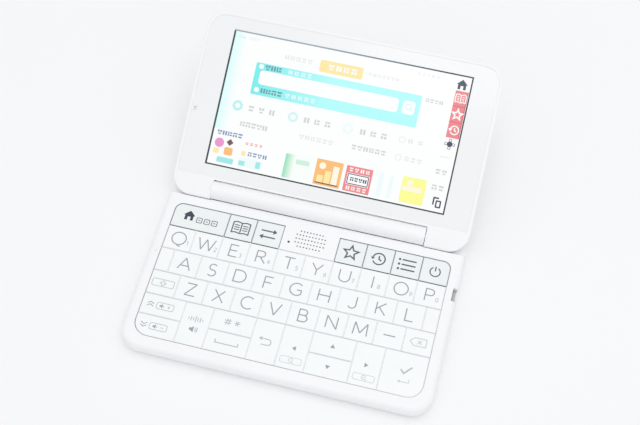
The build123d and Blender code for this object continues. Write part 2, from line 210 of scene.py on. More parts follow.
MATERIALS = {
    "case_white": moulded("satin_white", CASE_WHITE, 0.42, grain=0.3, depth=0.003),
    "key_tile": moulded("tile_white", TILE_WHITE, 0.30, grain=0.25, depth=0.0015, patch=9),
    "function_key": moulded("tile_grey", FUNCTION_GREY, 0.30, grain=0.25, depth=0.0015, patch=9),
    "bezel_glass": moulded("bezel", BEZEL_PALE, 0.16, 0.04, grain=0.5, depth=0.0006, patch=40,
                           coat=0.3),
    "display": moulded("display_can", tone(190, 194, 198), 0.35, grain=0.6, metallic=0.8,
                       stretch=(0.1, 1, 1)),
    "silicone": moulded("silicone", tone(206, 208, 210), 0.55, grain=0.5, depth=0.006),
    "board": moulded("board", tone(60, 132, 88), 0.38, grain=1.2, depth=0.01, mottle=0.8),
    "battery_film": moulded("foil", tone(196, 198, 202), 0.32, grain=1.5, depth=0.03,
                            metallic=0.9),
    "speaker_black": moulded("speaker", tone(44, 45, 47), 0.5, grain=0.3, depth=0.01,
                             mottle=0.7),
    "socket_metal": moulded("plated", tone(128, 131, 136), 0.3, grain=0.4, metallic=1.0,
                            stretch=(0.2, 1, 1)),
    "foot_rubber": moulded("foot_rubber", RUBBER_AND_NOTCH_SHADE_GREY, 0.75, grain=0.25, depth=0.012,
                           mottle=0.92),
    "steel": moulded("ground_steel", tone(182, 184, 188), 0.25, grain=0.3, depth=0.003,
                     metallic=1.0, stretch=(0.1, 1, 1)),
}

FUNCTION_KEYS = ("home", "dictionary_a", "dictionary_b", "my_words", "history", "index", "power")
NODE_MATERIALS = {
    "upper_case": "case_white",
    "lower_case": "case_white",
    "lid_back_cover": "case_white",
    "lid_front_frame": "case_white",
    "touch_glass": "bezel_glass",
    "display_module": "display",
    "key_mat": "silicone",
    "main_board": "board",
    "battery": "battery_film",
    "speaker": "speaker_black",
    "charging_socket": "socket_metal",
    "rubber_feet": "foot_rubber",
    "hinge_shafts": "steel",
}


def material_of(node):
    """Name of the finish of a CAD node."""
    if node.startswith("key_") and node in frame["bodies"]:
        return "function_key" if node[4:] in FUNCTION_KEYS else "key_tile"
    return NODE_MATERIALS[node]


for node, item in frame["nodes"].items():
    item.data.materials.clear()
    item.data.materials.append(MATERIALS[material_of(node)])


# ---- flat shapes

SHARP = -0.3             # cosine of a turn past which a line is cut in two
SAME = 1e-6              # points closer than this are one point
LONGEST_MITRE = 0.1      # least squared cosine that a mitre is worked out for
OVERLAP_STEP = 0.003     # prints that cross differ in thickness by this, so none are level
OVERLAP_STEPS = 4        # and by so many steps in turn


def arc(x, y, rx, ry, first, last, steps=14):
    """Points along part of an ellipse, angles in degrees."""
    turns = [radians(first + (last - first) * i / steps) for i in range(steps + 1)]
    return [(x + rx * cos(t), y + ry * sin(t)) for t in turns]


def oval(x, y, rx, ry, steps=24):
    """Points round a whole ellipse."""
    return arc(x, y, rx, ry, 0, 360, steps)[:-1]


def disc(x, y, radius, steps=24):
    """Filled round."""
    return [oval(x, y, radius, radius, steps)]


def rounded(x0, y0, x1, y1, radius, low_radius=None, steps=5):
    """Outline of a box with rounded corners; those at its foot may have a radius of their own."""
    low = radius if low_radius is None else low_radius
    corners = ((x1 - radius, y1 - radius, radius, 0), (x0 + radius, y1 - radius, radius, 90),
               (x0 + low, y0 + low, low, 180), (x1 - low, y0 + low, low, 270))
    points = []
    for x, y, reach, turn in corners:
        points += arc(x, y, reach, reach, turn, turn + 90, steps)
    return points


def bar(x0, y0, x1, y1):
    """Filled box."""
    return [[(x0, y0), (x1, y0), (x1, y1), (x0, y1)]]


def pairs(items, closed):
    """Each item with the next one; the last goes with the first where the line closes."""
    return list(zip(items, items[1:] + items[:1] if closed else items[1:]))


def stroke(points, width, closed=False):
    """Quads of a line of one width: mitred where it bends, cut square where it turns sharply."""
    points = [point for i, point in enumerate(points)
              if i == 0 or dist(point, points[i - 1]) > SAME]
    steps = [(bx - ax, by - ay) for (ax, ay), (bx, by) in pairs(points, closed)]
    normals = [(-dy / hypot(dx, dy), dx / hypot(dx, dy)) for dx, dy in steps]
    if not closed:
        for i, ((ax, ay), (bx, by)) in enumerate(pairs(normals, False), 1):
            if ax * bx + ay * by < SHARP:
                return stroke(points[:i + 1], width) + stroke(points[i:], width)
    sides = []
    for i, (x, y) in enumerate(points):
        beside = normals[i:i + 1]
        if closed or i:
            beside.append(normals[i - 1])
        nx = sum(n[0] for n in beside) / len(beside)
        ny = sum(n[1] for n in beside) / len(beside)
        shift = width / 2 / max(nx * nx + ny * ny, LONGEST_MITRE)
        sides.append(((x + nx * shift, y + ny * shift), (x - nx * shift, y - ny * shift)))
    return [[one[1], two[1], two[0], one[0]] for one, two in pairs(sides, closed)]


def moved(shapes, x, y, size=1.0):
    """Shapes scaled about their origin and carried to a place."""
    return [[(x + px * size, y + py * size) for px, py in points] for points in shapes]


def separate_islands(bm):
    """Sets of points that hang together, in the order of their first points."""
    islands = []
    for start in bm.verts:
        if any(start in island for island in islands):
            continue
        reached, edge = {start}, [start]
        while edge:
            near = {point for line in edge.pop().link_edges for point in line.verts} - reached
            reached |= near
            edge += near
        islands.append(reached)
    return islands


def sort_faces(bm):
    """Orders faces by their points, as an extrusion leaves them in another order each run."""
    bm.verts.index_update()
    faces = sorted(bm.faces, key=lambda face: sorted(vertex.index for vertex in face.verts))
    for number, face in enumerate(faces):
        face.index = number
    bm.faces.sort()


def added(name, data):
    """New object with its data, in the scene."""
    item = bpy.data.objects.new(name, data)
    bpy.context.scene.collection.objects.link(item)
    return item


def finished_piece(name, material, bm):
    """Object of one material with the shape in bm."""
    sort_faces(bm)
    mesh = bpy.data.meshes.new(name)
    bm.to_mesh(mesh)
    bm.free()
    mesh.materials.append(material)
    return added(name, mesh)


def flat_piece(name, body, material, shapes, level, ink=0.02, place=None, faces_down=False):
    """Printed piece: flat shapes a hair thick that lie at one height and ride on a body."""
    bm = bmesh.new()
    for points in shapes:
        bm.faces.new([bm.verts.new((x * MM, y * MM, level * MM)) for x, y in points])
    bmesh.ops.remove_doubles(bm, verts=bm.verts[:], dist=SAME)
    grown = bmesh.ops.extrude_face_region(bm, geom=bm.faces[:], use_keep_orig=True)
    raised_points = {item for item in grown["geom"] if isinstance(item, bmesh.types.BMVert)}
    for number, island in enumerate(separate_islands(bm)):
        rise = ink + OVERLAP_STEP * (number % OVERLAP_STEPS)
        for vertex in raised_points & island:
            vertex.co.z += (-rise if faces_down else rise) * MM
    bmesh.ops.recalc_face_normals(bm, faces=bm.faces[:])
    if place is not None:
        bm.transform(place)
    piece = finished_piece(name, material, bm)
    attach(piece, body)
    return piece


# ---- letters

LINE = 0.58              # width of the printed lines of the letters
CAP = 6.4                # height of the letters
STEM = 0.045             # half the width of an upright, in heights of a letter
LOW_BOWL = arc(0.42, 0.265, 0.27, 0.265, 90, -90, 10)
HIGH_BOWL = arc(0.38, 0.765, 0.24, 0.235, 90, -90, 10)
LETTERS = {
    "a": (0.97, [[(0, 0), (0.485, 1), (0.97, 0)], [(0.16, 0.33), (0.81, 0.33)]]),
    "b": (0.70, [[(0, -STEM), (0, 1)] + HIGH_BOWL + [(STEM, 0.53)],
                 [(0.3, 0.53)] + LOW_BOWL + [(STEM, 0)]]),
    "c": (0.85, [arc(0.52, 0.5, 0.52, 0.51, 50, 310, 22)]),
    "d": (0.92, [[(0, 0), (0, 1)] + arc(0.42, 0.5, 0.50, 0.5, 90, -90, 18)]),
    "e": (0.62, [[(0.62, 1), (0, 1), (0, 0), (0.64, 0)], [(0, 0.52), (0.58, 0.52)]]),
    "f": (0.60, [[(0.62, 1), (0, 1), (0, 0)], [(0, 0.51), (0.56, 0.51)]]),
    "g": (0.92, [arc(0.52, 0.5, 0.52, 0.51, 48, 318, 22) + [(0.906, 0.46), (0.56, 0.46)]]),
    "h": (0.88, [[(0, 0), (0, 1)], [(0.88, 0), (0.88, 1)], [(0, 0.52), (0.88, 0.52)]]),
    "i": (0.0, [[(0, 0), (0, 1)]]),
    "j": (0.60, [[(0.6, 1)] + arc(0.30, 0.29, 0.30, 0.30, 0, -150, 10)]),
    "k": (0.72, [[(0, 0), (0, 1)], [(0.68, 1), (0.0, 0.42)], [(0.20, 0.59), (0.74, 0)]]),
    "l": (0.60, [[(0, 1), (0, 0), (0.62, 0)]]),
    "m": (1.06, [[(0, 0), (0.06, 1), (0.53, 0.16), (1.0, 1), (1.06, 0)]]),
    "n": (0.83, [[(0, 0), (0, 1), (0.83, 0), (0.83, 1)]]),
    "o": (1.08, [oval(0.54, 0.5, 0.54, 0.53, 32)]),
    "p": (0.66, [[(0, 0), (0, 1)] + arc(0.38, 0.735, 0.27, 0.265, 90, -90, 10)
                 + [(STEM, 0.47)]]),
    "q": (1.12, [oval(0.56, 0.5, 0.56, 0.54, 32), arc(0.75, -0.04, 0.22, 0.12, 160, 290, 6)]),
    "r": (0.74, [[(0, 0), (0, 1)] + arc(0.38, 0.745, 0.27, 0.255, 90, -90, 10)
                 + [(STEM, 0.49)],
                 [(0.30, 0.49), (0.74, 0)]]),
    "s": (0.64, [arc(0.34, 0.745, 0.28, 0.265, 40, 248, 12)
                 + arc(0.30, 0.262, 0.32, 0.272, 62, -142, 12)]),
    "t": (0.82, [[(0, 1), (0.82, 1)], [(0.41, 1), (0.41, 0)]]),
    "u": (0.84, [[(0, 1)] + arc(0.42, 0.38, 0.42, 0.39, 180, 360, 16) + [(0.84, 1)]]),
    "v": (0.90, [[(0, 1), (0.45, 0), (0.90, 1)]]),
    "w": (1.34, [[(0, 1), (0.34, 0), (0.67, 0.94), (1.0, 0), (1.34, 1)]]),
    "x": (0.82, [[(0, 0), (0.80, 1)], [(0.02, 1), (0.82, 0)]]),
    "y": (0.84, [[(0, 1), (0.42, 0.46), (0.84, 1)], [(0.42, 0.46), (0.42, 0)]]),
    "z": (0.78, [[(0.02, 1), (0.76, 1), (0, 0), (0.80, 0)]]),
}
DIGIT_HEIGHT = 2.2
DIGIT_LINE = 0.32
DIGITS = {
    "1": [[(0.0, 0.78), (0.22, 1), (0.22, 0)]],
    "2": [arc(0.26, 0.72, 0.26, 0.28, 160, -30, 8) + [(0, 0), (0.56, 0)]],
    "3": [arc(0.24, 0.75, 0.25, 0.25, 140, -90, 8) + arc(0.24, 0.25, 0.28, 0.25, 90, -140, 8)],
    "4": [[(0.42, 0), (0.42, 1), (0, 0.28), (0.6, 0.28)]],
    "5": [[(0.5, 1), (0.08, 1), (0.05, 0.55)] + arc(0.24, 0.3, 0.28, 0.3, 110, -140, 8)],
    "6": [oval(0.28, 0.3, 0.26, 0.3, 14), [(0.46, 1), (0.05, 0.42)]],
    "7": [[(0, 1), (0.54, 1), (0.18, 0)]],
    "8": [oval(0.28, 0.75, 0.22, 0.24, 12), oval(0.28, 0.26, 0.27, 0.26, 12)],
    "9": [oval(0.28, 0.7, 0.26, 0.3, 14), [(0.10, 0), (0.51, 0.58)]],
    "0": [oval(0.28, 0.5, 0.27, 0.5, 16)],
}
LOOPS = "oqd690"         # letters and digits whose first line closes on itself


def written(sign, lines, line, x, y, height):
    """Letter or digit of a height with its left foot at a place."""
    shapes = []
    for index, points in enumerate(lines):
        closed = sign == "8" or (sign in LOOPS and index == 0)
        shapes += stroke(moved([points], x, y, height)[0], line, closed)
    return shapes


def letter_shapes(letter):
    """Letter drawn about the middle of its key."""
    width, lines = LETTERS[letter]
    return written(letter, lines, LINE, -width / 2 * CAP, -CAP / 2, CAP)


# ---- signs on the keys

def house():
    """Filled house with a doorway."""
    roof = [[(-2.6, 0.1), (0, 2.5), (2.6, 0.1), (1.9, 0.1), (-1.9, 0.1)]]
    walls = [[(-1.9, 0.1), (-1.9, -2.2), (-0.65, -2.2), (-0.65, -0.5), (0.65, -0.5),
              (0.65, -2.2), (1.9, -2.2), (1.9, 0.1)]]
    return roof + walls


def triangle(direction, across, along):
    """Filled arrow head pointing along a direction, in degrees."""
    turn = radians(direction)
    points = [(along / 2, 0), (-along / 2, across / 2), (-along / 2, -across / 2)]
    return [[(px * cos(turn) - py * sin(turn), px * sin(turn) + py * cos(turn))
             for px, py in points]]


def frame_box(x0, y0, x1, y1, radius, width):
    """Outline of a box with rounded corners."""
    return stroke(rounded(x0, y0, x1, y1, radius), width, True)


def open_book(width=8.6, height=6.6, line=0.62):
    """Open book seen from above, with lines of print."""
    half = width / 2
    shapes = stroke([(0, -height / 2 + 0.6), (0, height / 2 - 0.5)], line)
    for side in (-1, 1):
        page = [(0, height / 2 - 0.5), (side * half * 0.55, height / 2),
                (side * half, height / 2 - 0.4), (side * half, -height / 2 + 0.2),
                (side * half * 0.55, -height / 2 + 0.6), (0, -height / 2 + 0.1)]
        shapes += stroke(page, line)
        for step in range(3):
            y = height * (0.20 - 0.19 * step)
            shapes += stroke([(side * 0.8, y), (side * (half - 0.8), y + 0.1)], line * 0.8)
    return shapes


def swap_arrows(line=0.72):
    """Two arrows that point past each other."""
    shapes = []
    for side in (-1, 1):
        y = side * 1.7
        shapes += stroke([(-side * 3.9, y), (side * 2.7, y)], line)
        shapes += moved(triangle(0 if side > 0 else 180, 2.8, 1.9), side * 3.3, y)
    return shapes


def star(radius=3.9, line=0.74, waist=0.45):
    """Five-pointed star in outline, with the waist as a share of its radius."""
    points = []
    for i in range(10):
        reach = radius if i % 2 == 0 else radius * waist
        turn = radians(90 + 36 * i)
        points.append((reach * cos(turn), reach * sin(turn)))
    return stroke(points, line, True)


def clock(radius=3.1, line=0.7):
    """Clock with an arrow that runs back."""
    shapes = stroke(arc(0, 0, radius, radius, 165, -150, 26), line)
    shapes += stroke([(0, radius * 0.55), (0, 0), (radius * 0.45, -radius * 0.3)], line)
    return shapes + moved(triangle(-90, 2.1, 1.5), -radius, -0.1)


def listing(line=0.76):
    """Rows of a list, each with its dot."""
    shapes = []
    for row in range(3):
        y = 2.6 - 2.6 * row
        shapes += disc(-4.0, y, 0.65, 10)
        shapes += stroke([(-2.7, y), (4.3, y)], line)
    return shapes


def power_sign(radius=2.5, line=0.6):
    """Broken ring with a bar."""
    shapes = stroke(arc(0, -0.2, radius, radius, 120, 420, 26), line)
    return shapes + stroke([(0, 0.2), (0, radius + 0.3)], line)


def loudspeaker(waves):
    """Filled speaker with its waves."""
    shapes = [[(-1.7, -0.55), (-0.9, -0.55), (-0.9, 0.55), (-1.7, 0.55)],
              [(-0.9, -0.55), (0.1, -1.4), (0.1, 1.4), (-0.9, 0.55)]]
    for i in range(waves):
        reach = 0.8 + 0.75 * i
        shapes += stroke(arc(0.1, 0, reach, reach, -48, 48, 6), 0.28)
    return shapes


def double_chevron(side, line=0.38):
    """Two chevrons that point up or down."""
    shapes = []
    for shift in (-0.65, 0.75):
        foot = shift - side * 0.45
        shapes += stroke([(-1.6, foot), (0, shift + side * 0.55), (1.6, foot)], line)
    return shapes


def plus_minus(with_upright, line=0.34):
    """Plus or minus sign."""
    shapes = stroke([(-0.7, 0), (0.7, 0)], line)
    if with_upright:
        shapes += stroke([(0, -0.7), (0, -0.17)], line) + stroke([(0, 0.17), (0, 0.7)], line)
    return shapes


def block_arrow(line=0.42):
    """Outline arrow that points up, as on a shift key."""
    points = [(0, 1.3), (-1.5, -0.1), (-0.7, -0.1), (-0.7, -1.2), (0.7, -1.2), (0.7, -0.1),
              (1.5, -0.1)]
    return stroke(points, line * 0.8, True)


def backspace(line=0.4):
    """Tag with a cross in it."""
    outline = [(-3.4, 0), (-1.6, 1.7), (3.2, 1.7), (3.2, -1.7), (-1.6, -1.7)]
    cross = stroke([(-0.2, 0.8), (1.4, -0.8)], line) + stroke([(1.4, 0.8), (-0.2, -0.8)], line)
    return stroke(outline, line, True) + cross


def return_arrow(wide=5.6, high=1.9, line=0.36):
    """Arrow that comes down and turns left."""
    points = [(wide / 2, high), (wide / 2, 0), (-wide / 2 + 1.2, 0)]
    return stroke(points, line) + moved(triangle(180, 1.5, 1.5), -wide / 2 + 0.7, 0)


def tick(line=0.6):
    """Tick mark."""
    return stroke([(-1.9, 0.1), (-0.5, -1.3), (2.1, 1.6)], line)


def turn_back(line=0.45):
    """Arrow that turns back to the left."""
    points = [(-2.2, 1.2), (1.2, 1.2)] + arc(1.2, -0.2, 1.4, 1.4, 90, -90, 10) + [(-1.6, -1.6)]
    return stroke(points, line) + moved(triangle(180, 1.9, 1.5), -2.4, 1.2)


def space_bar(line=0.52):
    """Open tray, the usual sign of a space bar."""
    return stroke([(-5.6, 1.1), (-5.6, -0.6), (5.6, -0.6), (5.6, 1.1)], line)


def hash_sign(line=0.4):
    """Hash sign and a small asterisk for the symbols."""
    shapes = []
    for shift in (-0.55, 0.55):
        shapes += stroke([(-1.5, shift), (1.5, shift)], line)
        shapes += stroke([(shift - 0.25, -1.5), (shift + 0.25, 1.5)], line)
    shapes = moved(shapes, -2.1, 0)
    for turn in (0, 60, 120):
        dx, dy = 1.3 * cos(radians(turn)), 1.3 * sin(radians(turn))
        shapes += stroke([(2.1 - dx, -dy), (2.1 + dx, dy)], line)
    return shapes


def magnifier(with_upright, line=0.34):
    """Small lens with a plus or a minus sign."""
    shapes = stroke(oval(0, 0, 1.05, 1.05, 18), line)
    shapes += stroke([(0.78, -0.78), (1.6, -1.35)], line)
    return shapes + moved(plus_minus(with_upright, 0.26), 0, 0, 0.7)


def tile_row(line=0.37):
    """Row of three tiles, as on the home page of the screen."""
    shapes = []
    for x in (-3.9, 0, 3.9):
        shapes += frame_box(x - 1.35, -1.35, x + 1.35, 1.35, 0.3, line)
        shapes += stroke([(x - 0.6, 0), (x + 0.6, 0)], line)
    return shapes


def sound_bars(line=0.42):
    """Upright bars of a voice recording."""
    shapes = []
    for i, half in enumerate((0.5, 1.1, 0.7, 1.5, 0.9, 1.2, 0.4)):
        x = (i - 3) * 1.05
        shapes += stroke([(x, -half), (x, half)], line)
    return shapes


INK_LOOKS = {            # tone, roughness, and how far the tone wanders
    "letter": ((158, 162, 167), 0.5, 0.95),
    "small": ((186, 193, 195), 0.5, 0.95),
    "faint": ((206, 211, 213), 0.5, 0.95),
    "function": ((88, 96, 104), 0.5, 0.93),
    "house": ((50, 62, 76), 0.45, 0.93),
}
INKS = {name: moulded("ink_" + name, tone(*steps), rough, grain=0.2, depth=0.001, patch=3,
                      mottle=share)
        for name, (steps, rough, share) in INK_LOOKS.items()}
LEGEND_CORNER = 0.9      # corners and line of the boxes round some legends
LEGEND_FRAME = 0.34


def key_box(key):
    """Left, right, front, rear and top of a key, in millimetres."""
    low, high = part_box("key_" + key)
    return low.x / MM, high.x / MM, low.y / MM, high.y / MM, high.z / MM


def print_on(key, ink, shapes, suffix=""):
    """Prints shapes, drawn about the middle of a key, on its cap."""
    x0, x1, y0, y1, top = key_box(key)
    middle = moved(shapes, (x0 + x1) / 2, (y0 + y1) / 2)
    flat_piece("legend_" + key + suffix, "key_" + key, INKS[ink], middle, top)


def print_keys():
    """All the legends of the keyboard."""
    for letter in LETTERS:
        print_on(letter, "letter", letter_shapes(letter))
    for letter, digit in zip("qwertyuiop", "1234567890"):
        right = LETTERS[letter][0] * CAP / 2
        x = min(max(right + 1.2, 2.7), 4.5)
        shapes = written(digit, DIGITS[digit], DIGIT_LINE, x, -2.9, DIGIT_HEIGHT)
        print_on(letter, "small", shapes, "_digit")
    print_on("home", "house", moved(house(), -5.9, 0.6, 1.16), "_house")
    print_on("home", "function", moved(tile_row(), 3.6, -0.9), "_menu")
    signs = {"dictionary_a": open_book, "dictionary_b": swap_arrows, "my_words": star,
             "history": clock, "index": listing, "power": power_sign}
    for key, sign in signs.items():
        print_on(key, "function", sign())
    shift = frame_box(-5.5, -1.9, 5.5, 1.9, LEGEND_CORNER, LEGEND_FRAME) + block_arrow()
    print_on("shift", "small", shift)
    print_on("dash", "letter", stroke([(-2.9, 0), (2.9, 0)], LINE))
    print_on("delete", "faint", moved(backspace(), 0, 0, 1.2))
    for key, side in (("volume_up", 1), ("volume_down", -1)):
        print_on(key, "letter", moved(double_chevron(side), -6.0, 0), "_chevrons")
        shapes = frame_box(-3.0, -1.7, 5.6, 1.7, LEGEND_CORNER, LEGEND_FRAME)
        print_on(key, "small", shapes + moved(plus_minus(side > 0), 3.2, 0), "_level")
        print_on(key, "letter", moved(loudspeaker(1), 0.0, 0, 0.85), "_speaker")
    print_on("voice", "letter", moved(loudspeaker(2), 0.2, -2.4, 1.2), "_speaker")
    print_on("voice", "small", moved(sound_bars(), 0, 3.0, 1.1), "_bars")
    print_on("symbol", "small", moved(hash_sign(), 0, 0, 1.1))
    print_on("space", "small", space_bar())
    print_on("back", "small", moved(turn_back(), 0, 0, 1.1))
    for key, turn in (("left", 180), ("right", 0), ("up", 90), ("down", -90)):
        print_on(key, "letter", triangle(turn, 2.4, 1.9), "_arrow")
    for key, larger in (("left", False), ("right", True)):
        shapes = frame_box(-5.2, -8.1, 5.2, -4.8, LEGEND_CORNER, 0.28)
        print_on(key, "faint", shapes + moved(magnifier(larger), 0, -6.35), "_size")
    print_on("enter", "small", moved(tick(), 0.8, 2.0, 1.3), "_tick")
    print_on("enter", "faint", moved(return_arrow(), 0.6, -4.0), "_arrow")


print_keys()


# ---- painted shade in the slits of the keyboard

SEAM = 0.32              # width of the strips that stand in the slits
PANEL_SEAM = 0.3         # width of the strip round the key panel
SEAM_BELOW = 0.05        # top of a strip below the key tops
GAP = 0.35               # slit between neighbouring keys
GUIDE_TOP = 8.33         # floor of the key well
# Each tone stands for the shade in a slit: darkest under the raised function keys, dark round the
# panel, lighter on its left, front and right in turn, palest between the columns; the strips
# between the function keys are darker too.
SLIT_SHADE_TONES = {           # tone of the painted shade, and how far it wanders
    "under": ((76, 81, 87), 0.9),
    "frame": ((120, 125, 131), 0.92),
    "divide": ((143, 148, 153), 0.92),
    "left": ((178, 182, 186), 0.95),
    "front": ((192, 196, 199), 0.95),
    "right": ((204, 207, 210), 0.95),
    "row": ((215, 217, 219), 0.95),
    "column": ((238, 240, 241), 0.97),
}
SLIT_SHADE_MATERIALS = {}
for name, (steps, share) in SLIT_SHADE_TONES.items():
    # The painted shade along the front starts as dark as the dividing lines and pales between two
    # places in X, lighter towards the right.
    paling = {"second": tone(143, 148, 153), "ramp": (0.0, 62.0)} if name == "front" else {}
    SLIT_SHADE_MATERIALS[name] = moulded("slit_shade_" + name, tone(*steps), 0.6, grain=0.2, depth=0.002,
                              mottle=share, **paling)

REAR_RADIUS = 4.0        # corners of the key panel
FRONT_RADIUS = 7.5
IN_LINE = 1.0            # edges closer than this lie on one line


def slit_shade_strips():
    """Upright strips of painted shade, a tone for each side: round the panel and between the keys.
    """
    strips = {name: [] for name in SLIT_SHADE_MATERIALS}
    keys = [body[4:] for body in frame["bodies"] if body.startswith("key_")]
    boxes = {key: key_box(key)[:4] for key in keys}
    left = min(box[0] for box in boxes.values()) - GAP / 2
    right = -left
    front = min(box[2] for box in boxes.values()) - GAP / 2
    rear = max(box[3] for box in boxes.values()) + GAP / 2
    island = boxes["dictionary_b"][1] + GAP / 2
    below_functions = boxes["home"][2]
    rear_left = arc(left + REAR_RADIUS, rear - REAR_RADIUS, REAR_RADIUS, REAR_RADIUS, 90, 180, 8)
    front_left = arc(left + FRONT_RADIUS, front + FRONT_RADIUS, FRONT_RADIUS, FRONT_RADIUS,
                     180, 270)
    corner = [(-x, y) for x, y in reversed(rear_left)]
    strips["frame"] += stroke([(island, rear)] + rear_left + [(left, below_functions)], PANEL_SEAM)
    strips["frame"] += stroke([(right, below_functions)] + corner + [(-island, rear)], PANEL_SEAM)
    strips["left"] += stroke([(left, below_functions), front_left[0]], PANEL_SEAM)
    front_right = [(-x, y) for x, y in reversed(front_left)]
    strips["front"] += stroke(front_left + [front_right[0]], PANEL_SEAM)
    strips["right"] += stroke(front_right + [(right, below_functions)], PANEL_SEAM)
    reach = (GAP - SEAM) / 2
    for key, (x0, x1, y0, y1) in boxes.items():
        function = key in FUNCTION_KEYS
        if x0 > left + GAP:
            x = x0 - GAP / 2
            tone_of = "divide" if function else "column"
            top = y1 + (0 if function else GAP - reach)
            strips[tone_of] += bar(x - SEAM / 2, y0 - reach, x + SEAM / 2, top)
        if y1 < rear - GAP:
            y = y1 + GAP / 2
            middle = (x0 + x1) / 2
            # painted shadow under the front edge of the raised function keys
            dark = abs(y1 - below_functions) < IN_LINE and abs(middle) > abs(island)
            strips["under" if dark else "row"] += bar(x0 - reach, y - SEAM / 2,
                                                      x1 + reach, y + SEAM / 2)
    x0, x1, y0, y1 = boxes["l"]
    strips["column"] += bar(x1 + reach, y0 - reach, x1 + reach + SEAM, y1 + reach)
    for first, last in ((left + GAP / 2, boxes["a"][0] - GAP), (x1 + GAP, right - GAP / 2)):
        strips["row"] += bar(first - reach, y1 + reach, last + reach, y1 + reach + SEAM)
    x0, x1, y0, y1 = boxes["dictionary_b"]
    strips["divide"] += bar(x1 + reach, y0 - reach, x1 + reach + SEAM, y1)
    return strips


SEAM_TALL = key_box("q")[4] - SEAM_BELOW - GUIDE_TOP
for name, strips in slit_shade_strips().items():
    flat_piece("slit_shade_" + name, "base", SLIT_SHADE_MATERIALS[name], strips, GUIDE_TOP, SEAM_TALL)


BLANK_INSET = 0.24       # print on a blank tile stops short of its softened edge


def face_blanks():
    """Gives the two fixed tiles beside the letters the finish of the keys."""
    a, l, home = key_box("a"), key_box("l"), key_box("home")
    right = -home[0]
    for name, x0, x1 in (("left", home[0], a[0] - GAP), ("right", l[1] + GAP, right)):
        face = bar(x0 + BLANK_INSET, a[2] + BLANK_INSET, x1 - BLANK_INSET, a[3] - BLANK_INSET)
        piece = flat_piece("blank_" + name, "base", MATERIALS["key_tile"], face, a[4])


face_blanks()


# ---- screws under the base

SCREW_PLACES = [(side * 71.0, y) for side in (-1, 1) for y in (-75.6, -40.85, -6.1)]
SCREW_TOP = 2.05         # deepest face of a head, in its counterbore
SCREW_LOW = 0.95
HEAD_RADIUS = 1.6
HEAD_SIDES = 24
HEAD_RINGS = ((HEAD_RADIUS, SCREW_TOP), (HEAD_RADIUS, SCREW_LOW + 0.35),
              (HEAD_RADIUS * 0.86, SCREW_LOW + 0.1), (HEAD_RADIUS * 0.55, SCREW_LOW))
CROSS_ARM = 0.78         # middle of the cross recess to the end of an arm
CROSS_HALF = 0.17        # half the width of an arm
CROSS_DEPTH = 0.6


def cross_outline(arm, half):
    """Outline of a cross with arms of one width."""
    quarter = [(arm, half), (half, half), (half, arm)]
    points = []
    for _ in range(4):
        points += quarter
        quarter = [(-y, x) for x, y in quarter]
    return points


def screw(name, x, y):
    """Domed screw head with a cross recess, seen from below."""
    bm = bmesh.new()

    def ring_at(points, z):
        return [bm.verts.new(((x + px) * MM, (y + py) * MM, z * MM)) for px, py in points]

    def wall(low, high):
        for (foot, head), (next_foot, next_head) in pairs(list(zip(low, high)), True):
            bm.faces.new((foot, next_foot, next_head, head))

    loops = [ring_at(oval(0, 0, radius, radius, HEAD_SIDES), z) for radius, z in HEAD_RINGS]
    for low, high in zip(loops, loops[1:]):
        wall(low, high)
    bm.faces.new(loops[0])
    outline = cross_outline(CROSS_ARM, CROSS_HALF)
    mouth, bed = ring_at(outline, SCREW_LOW), ring_at(outline, SCREW_LOW + CROSS_DEPTH)
    wall(mouth, bed)
    bm.faces.new(bed)
    rim = [bm.edges.get(ends) for line in (loops[-1], mouth) for ends in pairs(line, True)]
    bmesh.ops.triangle_fill(bm, use_beauty=True, use_dissolve=False, edges=rim)
    bmesh.ops.recalc_face_normals(bm, faces=bm.faces[:])
    piece = finished_piece(name, MATERIALS["steel"], bm)
    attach(piece, "base")


for number, (x, y) in enumerate(SCREW_PLACES, 1):
    screw(f"screw_{number}", x, y)


# ---- socket and microphone

SOCKET_WALL = 0.32       # sheet of the socket's shell and the air inside it
INSERT_BACK = 0.5        # front of the dark insert, inside the mouth
INSERT_BED = 0.5         # bed of the insert behind the tongue
TONGUE_HALF = 1.75       # half the slot that the insert leaves for the tongue
MICROPHONE_PLACE = (-10.3, -14.1)
MICROPHONE_RADIUS = 0.5
MICROPHONE_DEPTH = (8.3, 9.6)
NOTCH_OUT = 1.7          # the grey lining of the notch, painted shade, reaches this far out of the socket's mouth
NOTCH_SIDE = 0.2         # and this far past either side of the socket
NOTCH_END = 0.08         # thickness of the lining at either end of the notch
LINING = 0.12            # and on its floor
CLEAR = 0.01             # between a lining and the floor of the hollow
DARK_PLASTIC = moulded("dark_plastic", tone(34, 36, 40), 0.6, grain=0.2, mottle=0.8)


def small_part(name, material, slot, shapes, low, high):
    """Small part of the base, between two heights."""
    flat_piece(name, "base", material, shapes, low, high - low)


